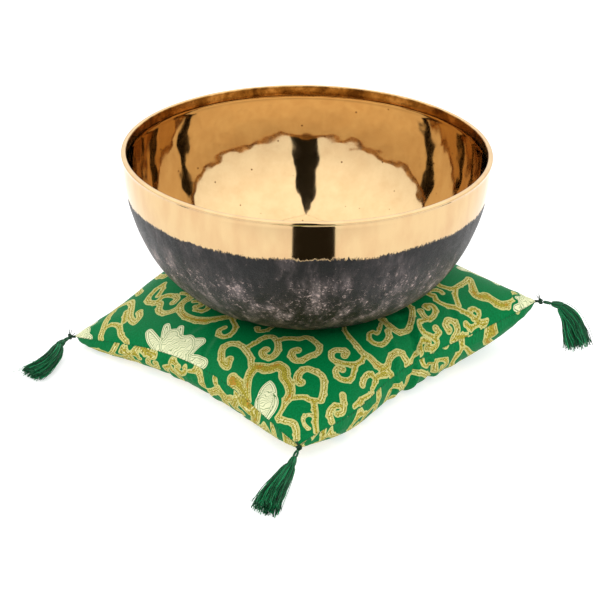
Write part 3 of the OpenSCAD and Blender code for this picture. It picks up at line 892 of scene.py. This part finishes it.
def corner_knot(name, seed):
    """An overhand knot, drawn tight: a trefoil curve, with cut thread ends that stand out of it."""
    rng = np.random.default_rng(seed)
    middle = box_middle("corner_knot_" + name)
    out = unit(middle - CORNER[CORNERS.index(name)])
    side = unit(np.cross(out, (0.0, 0.0, 1.0)))
    up = np.cross(side, out)
    t = np.linspace(0, 2 * np.pi, 96, endpoint=False)
    x, y = np.sin(t) + 2 * np.sin(2 * t), np.cos(t) - 2 * np.cos(2 * t)
    trefoil = middle + 0.62 * MM * (x[:, None] * side + y[:, None] * up - 1.6 * np.sin(3 * t)[:, None] * out)
    parts = [tubes(trefoil[None], 0.72 * MM, 8, closed=True)]
    s = np.linspace(0, 1, 8)[:, None]
    root = CORNER[CORNERS.index(name)]
    tie = root - 1.5 * MM * out + (middle - root + 1.5 * MM * out) * s
    turn = np.linspace(0, 2 * np.pi, 7, endpoint=False)
    strands = [tie + 0.7 * MM * (np.cos(a) * side + np.sin(a) * up) for a in turn]
    parts.append(tubes(np.array(strands), 0.35 * MM, 5))
    toward = unit(box_middle("tassel_loop_" + name) - middle)
    stubs = []
    for _ in range(4):
        way = unit(rng.normal(0, 1, 3) * (1, 1, 0.6) + 1.2 * up + 0.3 * out)
        way = unit(way - max(way @ toward + 0.45, 0) * toward)
        bend = unit(rng.normal(0, 1, 3))
        bend -= max(bend @ toward, 0) * toward
        reach = rng.uniform(4, 7) * MM
        stubs.append(middle + s * reach * way + s ** 2 * 1.2 * MM * bend)
    stubs = np.array(stubs)
    stubs[..., 2] = np.maximum(stubs[..., 2], 0.4 * MM)
    parts.append(tubes(stubs, 0.26 * MM, 4))
    return joined(parts)


def make_tassels(skein, thread):
    for seed, name in enumerate(CORNERS):
        hang, swing = "tassel_" + name, "loop_" + name
        made = (
            ("skirt_threads_", skirt(name, 20 + seed), hang, "tassel_skirt_", "tassel_thread"),
            ("head_threads_", head_threads(name), hang, "tassel_head_", "tassel_thread"),
            ("neck_winding_", binding(name), hang, "tassel_binding_", "stitch_thread"),
            ("loop_cord_", loop_cord(name), swing, "tassel_loop_", "tassel_thread"))
        for piece_name, (points, faces, fields), body, node, slot in made:
            place(make_piece(piece_name + name, points, faces, skein, **fields), body, slot, node + name)
        knot = make_piece("knot_" + name, *corner_knot(name, 40 + seed), thread)
        place(knot, "cushion", "stitch_thread", "corner_knot_" + name)


# ---- finishes -------------------------------------------------------------------------------
BRONZE = hue("#d4b586")


def polished_bronze():
    """High-tin bronze, scraped and polished by hand: a warm mirror with small pits; the band inside
    the lip is left brown and less smooth."""
    material, t = new_material("polished_bronze")
    where = add(t, "TexCoord", out="Object")
    height = add(t, "SeparateXYZ", {0: where}, out="Z")
    cloud = add(t, "TexNoise", {"Vector": where, "Scale": 60.0, "Detail": 5.0, "Roughness": 0.65})
    wave = add(t, "TexNoise", {"Vector": where, "Scale": 75.0, "Detail": 0.5})
    fine = add(t, "TexNoise", {"Vector": where, "Scale": 700.0, "Detail": 3.0})
    pits = add(t, "TexVoronoi", {"Vector": where, "Scale": 95.0}, out="Distance")
    pit = fade(t, pits, 0.055, 0.085)
    tint = ramp(t, cloud, [(0.3, hue("#cba97a")), (0.62, BRONZE)])
    tint = add(t, "MixRGB", {"Fac": pit, "Color1": hue("#6d4a22"), "Color2": tint})
    brown = ramp(t, cloud, [(0.36, hue("#5f3c17")), (0.5, hue("#9a6d33")), (0.64, hue("#c8995c"))])
    lip = fade(t, height, RIM_Z - LIP_H - 0.6 * MM, RIM_Z - LIP_H + 0.4 * MM)
    colour = add(t, "MixRGB", {"Fac": lip, "Color1": tint, "Color2": brown})
    gloss = fade(t, fine, 0.0, 1.0, 0.03, 0.10)
    gloss = add(t, "Math", {0: lip, 1: 0.16, 2: gloss}, operation="MULTIPLY_ADD")
    bump = add(t, "Bump", {"Height": wave, "Strength": 1.0, "Distance": 0.0003})
    close(t, add(t, "BsdfPrincipled", {
        "Base Color": colour, "Metallic": 1.0, "Roughness": gloss, "Normal": bump}))
    return material


def patinated_bronze():
    """Outside of the bowl: a scraped bright band under the rim with a feathered lower edge, and below
    it the fire scale that hammering leaves, nearly black with pale chips and olive stains."""
    material, t = new_material("patinated_bronze")
    where = add(t, "TexCoord", out="Object")
    height = add(t, "SeparateXYZ", {0: where}, out="Z")
    tall = add(t, "Mapping", {"Vector": where, "Scale": (1.0, 1.0, 0.35)})
    feather = add(t, "TexNoise", {"Vector": tall, "Scale": 560.0, "Detail": 5.0, "Roughness": 0.75})
    wander = add(t, "TexNoise", {"Vector": where, "Scale": 45.0, "Detail": 3.0})
    shift = add(t, "Math", {0: feather, 1: 9 * MM}, operation="MULTIPLY")
    shift = add(t, "Math", {0: wander, 1: 8 * MM, 2: shift}, operation="MULTIPLY_ADD")
    level = add(t, "Math", {0: height, 1: shift}, operation="SUBTRACT")
    edge = RIM_Z - 38.5 * MM
    bright = fade(t, level, edge - 0.5 * MM, edge + 0.7 * MM)
    cloud = add(t, "TexNoise", {"Vector": tall, "Scale": 75.0, "Detail": 9.0, "Roughness": 0.72})
    crust = add(t, "TexNoise", {
        "Vector": where, "Scale": 340.0, "Detail": 8.0, "Roughness": 0.8, "Distortion": 0.8})
    blows = add(t, "TexVoronoi", {"Vector": where, "Scale": 75.0}, feature="SMOOTH_F1", out="Distance")
    dark = ramp(t, cloud, [
        (0.38, hue("#080706")), (0.48, hue("#211d1c")), (0.56, hue("#433b3a")), (0.66, hue("#6b605f"))])
    belt = fade(t, height, FOOT_Z + 14 * MM, FOOT_Z + 40 * MM)
    top = fade(t, height, edge - 2 * MM, edge - 22 * MM)
    belt = add(t, "Math", {0: belt, 1: top}, operation="MULTIPLY")
    chips = add(t, "Math", {0: cloud, 1: 0.35, 2: crust}, operation="MULTIPLY_ADD")
    chips = add(t, "Math", {0: belt, 1: 0.05, 2: chips}, operation="MULTIPLY_ADD")
    chip = fade(t, chips, 0.785, 0.845)
    dark = add(t, "MixRGB", {"Fac": chip, "Color1": dark, "Color2": hue("#b5a099")})
    shade = fade(t, top, 0.0, 1.0, 0.35, 1.0)
    dark = add(t, "VectorMath", {0: dark, "Scale": shade}, operation="SCALE")
    low = fade(t, height, FOOT_Z + 34 * MM, FOOT_Z + 6 * MM)
    stain = fade(t, cloud, 0.5, 0.58, 0.0, 0.8)
    stain = add(t, "Math", {0: stain, 1: low}, operation="MULTIPLY")
    dark = add(t, "MixRGB", {"Fac": stain, "Color1": dark, "Color2": hue("#4d4516")})
    rings = add(t, "TexNoise", {"Vector": tall, "Scale": 90.0, "Detail": 4.0})
    gold = ramp(t, rings, [(0.3, hue("#cda97c")), (0.6, BRONZE)])
    colour = add(t, "MixRGB", {"Fac": bright, "Color1": dark, "Color2": gold})
    metal = fade(t, bright, 0.0, 1.0, 0.15, 1.0)
    matt = fade(t, crust, 0.3, 0.7, 0.28, 0.6)
    gloss = add(t, "Math", {0: matt, 1: bright}, operation="SUBTRACT")
    gloss = add(t, "Math", {0: gloss, 1: 0.07}, operation="MAXIMUM")
    relief = add(t, "Math", {0: blows, 1: 2.2, 2: crust}, operation="MULTIPLY_ADD")
    relief = add(t, "MixRGB", {"Fac": bright, "Color1": relief, "Color2": (0.5, 0.5, 0.5, 1)})
    bump = add(t, "Bump", {"Height": relief, "Strength": 0.6, "Distance": 0.0008})
    close(t, add(t, "BsdfPrincipled", {
        "Base Color": colour, "Metallic": metal, "Roughness": gloss, "Specular IOR Level": 0.35,
        "Normal": bump}))
    return material


def brocade_cloth():
    """Jacquard brocade: a green satin ground with raised figures in gold and cream weft."""
    material, t = new_material("brocade")
    scroll = add(t, "Attribute", out="Fac", attribute_name="scroll")
    bloom = add(t, "Attribute", out="Fac", attribute_name="bloom")
    petal_edge = add(t, "Attribute", out="Fac", attribute_name="petal")
    cloth = add(t, "UVMap", uv_map="cloth")
    mm = add(t, "VectorMath", {0: cloth, "Scale": SPAN}, operation="SCALE")
    grain = add(t, "TexNoise", {"Vector": mm, "Scale": 0.8, "Detail": 3.0})
    patch = add(t, "TexNoise", {"Vector": mm, "Scale": 0.085, "Detail": 1.0})
    rows = add(t, "TexWave", {
        "Vector": mm, "Scale": 0.36, "Distortion": 0.5, "Detail": 1.0}, bands_direction="Y")
    gold = ramp(t, grain, [(0.34, hue("#6f6720")), (0.5, hue("#978c2c")), (0.68, hue("#b0a447"))])
    cream = ramp(t, rows, [(0.0, hue("#c3c595")), (0.6, hue("#e3e4bd"))])
    green = ramp(t, grain, [(0.3, hue("#00602f")), (0.7, hue("#04743f"))])

    def edge(*values):
        return fade(t, *values)

    def both(a, b):
        return add(t, "Math", {0: a, 1: b}, operation="MULTIPLY")

    def either(a, b):
        return add(t, "Math", {0: a, 1: b}, operation="MAXIMUM")

    def contour(value, at, half):
        away = add(t, "Math", {0: value, 1: at}, operation="SUBTRACT")
        away = add(t, "Math", {0: away}, operation="ABSOLUTE")
        return edge(away, half + 0.15, half - 0.05)

    in_scroll = edge(scroll, 0.12, -0.12)
    core = edge(scroll, -0.62, -0.85)
    bead = either(contour(scroll, -1.15, 0.12), contour(scroll, -2.3, 0.12))
    bead = both(bead, edge(grain, 0.40, 0.50))
    heart = both(edge(scroll, -2.4, -2.8), edge(patch, 0.52, 0.58))
    fleck = both(heart, edge(grain, 0.46, 0.58, 0.0, 0.6))
    in_bloom = edge(bloom, 0.12, -0.12)
    vein = either(contour(petal_edge, -0.9, 0.16), contour(petal_edge, -2.5, 0.14))
    swirl = add(t, "TexWave", {
        "Vector": mm, "Scale": 0.16, "Distortion": 9.0, "Detail": 0.0, "Detail Scale": 1.2},
        wave_type="RINGS")
    swirl = both(edge(swirl, 0.86, 0.93, 0.0, 0.7), edge(petal_edge, -2.7, -3.1))
    vein = either(vein, swirl)
    vein = both(vein, in_bloom)
    colour = green
    for factor, layer in (
            (in_scroll, hue("#bfbd79")), (core, gold), (bead, hue("#d8d29a")), (fleck, hue("#b5521d")),
            (in_bloom, cream), (vein, hue("#4f7442"))):
        colour = add(t, "MixRGB", {"Fac": factor, "Color1": colour, "Color2": layer})
    raised = either(in_scroll, in_bloom)
    relief = add(t, "Math", {0: rows, 1: 0.2, 2: raised}, operation="MULTIPLY_ADD")
    relief = add(t, "Math", {0: vein, 1: -0.5, 2: relief}, operation="MULTIPLY_ADD")
    bump = add(t, "Bump", {"Height": relief, "Strength": 0.7, "Distance": 0.00025})
    gloss = edge(raised, 0.0, 1.0, 0.48, 0.55)
    close(t, add(t, "BsdfPrincipled", {
        "Base Color": colour, "Roughness": gloss, "Specular IOR Level": 0.05, "Normal": bump}))
    return material


def tassel_skein():
    """Spun rayon with a silky gloss: each thread's green runs from dark to light with a value of its own,
    which on the skirts also carries painted shade that darkens the threads near the bundle's middle.
    """
    material, t = new_material("rayon_skein")
    # the attribute is a random darkness for each thread and, on the skirts, painted shade that darkens the
    # bundle's middle
    tone_and_painted_shade = add(t, "Attribute", out="Fac", attribute_name="tone_and_painted_shade")
    colour = ramp(t, tone_and_painted_shade, [
        (0.0, hue("#002a14")), (0.3, hue("#004a27")), (0.65, hue("#00683a")), (1.0, hue("#12955a"))])
    close(t, add(t, "BsdfPrincipled", {"Base Color": colour, "Roughness": 0.42, "Specular IOR Level": 0.3}))
    return material


def sewing_thread():
    """Dark green mercerised cotton for the knots and stitches."""
    material, t = new_material("mercerised_thread")
    where = add(t, "TexCoord", out="Object")
    ply = add(t, "TexNoise", {"Vector": where, "Scale": 1400.0, "Detail": 2.0})
    colour = ramp(t, ply, [(0.3, hue("#00200f")), (0.7, hue("#003d20"))])
    close(t, add(t, "BsdfPrincipled", {"Base Color": colour, "Roughness": 0.5, "Specular IOR Level": 0.3}))
    return material


def white_fibre():
    """Polyester fibre filling, seen only if the cover is opened."""
    material, t = new_material("fibre_filling")
    where = add(t, "TexCoord", out="Object")
    fluff = add(t, "TexNoise", {"Vector": where, "Scale": 300.0, "Detail": 5.0})
    colour = ramp(t, fluff, [(0.3, hue("#dcd9d0")), (0.7, hue("#f6f4ee"))])
    bump = add(t, "Bump", {"Height": fluff, "Strength": 0.8, "Distance": 0.001})
    close(t, add(t, "BsdfPrincipled", {"Base Color": colour, "Roughness": 0.9, "Normal": bump}))
    return material


# ---- stage ----------------------------------------------------------------------------------
def card(name, material, edges):
    """A strip of card: each row of edges is (y, z, x of its left edge, x of its right edge)."""
    rows = np.array(edges, float)
    y, z, left, right = rows.T
    points = np.stack([np.stack([left, y, z], 1), np.stack([right, y, z], 1)], 1).reshape(-1, 3)
    strip = make_piece(name, points, grid_faces(len(rows), 2), material, smooth=False)
    for ray in ("visible_camera", "visible_diffuse", "visible_shadow"):
        setattr(strip, ray, False)


def make_stage():
    """A white tent over a table of white acrylic lit from below. The tent is open in front in a dark
    wedge, which the bronze mirrors."""
    paper, t = new_material("lit_white_acrylic")
    near = add(t, "SeparateXYZ", {0: add(t, "TexCoord", out="Object")}, out="Y")
    lit = fade(t, near, -0.55, -0.32, 0.3, 0.6)
    glow = add(t, "Emission", {"Color": (1, 1, 1, 1), "Strength": lit})
    close(t, add(t, "AddShader", {0: glow, 1: add(t, "BsdfDiffuse", {"Color": (0.55, 0.55, 0.55, 1)})}))
    reach = 6.0
    corners = np.array([(-reach, -reach, 0), (reach, -reach, 0), (reach, reach, 0), (-reach, reach, 0)])
    make_piece("table_top", corners, np.array([[0, 1, 2, 3]]), paper, smooth=False)
    black, t = new_material("black_card")
    close(t, add(t, "BsdfDiffuse", {"Color": (0.012, 0.010, 0.007, 1)}))
    card("tent_opening", black, [
        (-0.235, 0.002, -0.028, 0.060), (-0.47, 0.002, -0.057, 0.125), (-1.35, 0.002, -0.19, 0.36),
        (-1.45, 0.30, -0.20, 0.32), (-1.50, 0.75, -0.20, 0.22), (-1.25, 1.10, -0.17, 0.17),
        (-0.90, 1.45, -0.12, 0.12), (-0.55, 1.65, -0.06, 0.05), (-0.30, 1.74, -0.004, 0.004)])
    for way in (-1, 1):
        card("tent_seam", black, [
            (-0.31, 1.74, -0.004, 0.004), (0.1, 1.70, way * 0.45 - 0.005, way * 0.45 + 0.005),
            (0.7, 1.40, way * 1.15 - 0.006, way * 1.15 + 0.006)])
    world = bpy.data.worlds.new("tent")
    world.use_nodes = True
    sky = world.node_tree
    above = add(sky, "SeparateXYZ", {0: add(sky, "TexCoord", out="Object")}, out="Z")
    glow = add(sky, "MapRange", {"Value": above, "From Max": 0.7, "To Min": 1.05, "To Max": 1.75})
    sky.links.new(glow, sky.nodes["Background"].inputs["Strength"])
    sky.nodes["Background"].inputs["Color"].default_value = (1, 1, 1, 1)
    scene.world = world
    scene.view_settings.view_transform = "Standard"


# ---- build ----------------------------------------------------------------------------------
thread = sewing_thread()
make_bowl(polished_bronze(), patinated_bronze())
make_cushion(brocade_cloth(), white_fibre(), thread)
make_tassels(tassel_skein(), thread)
make_stage()
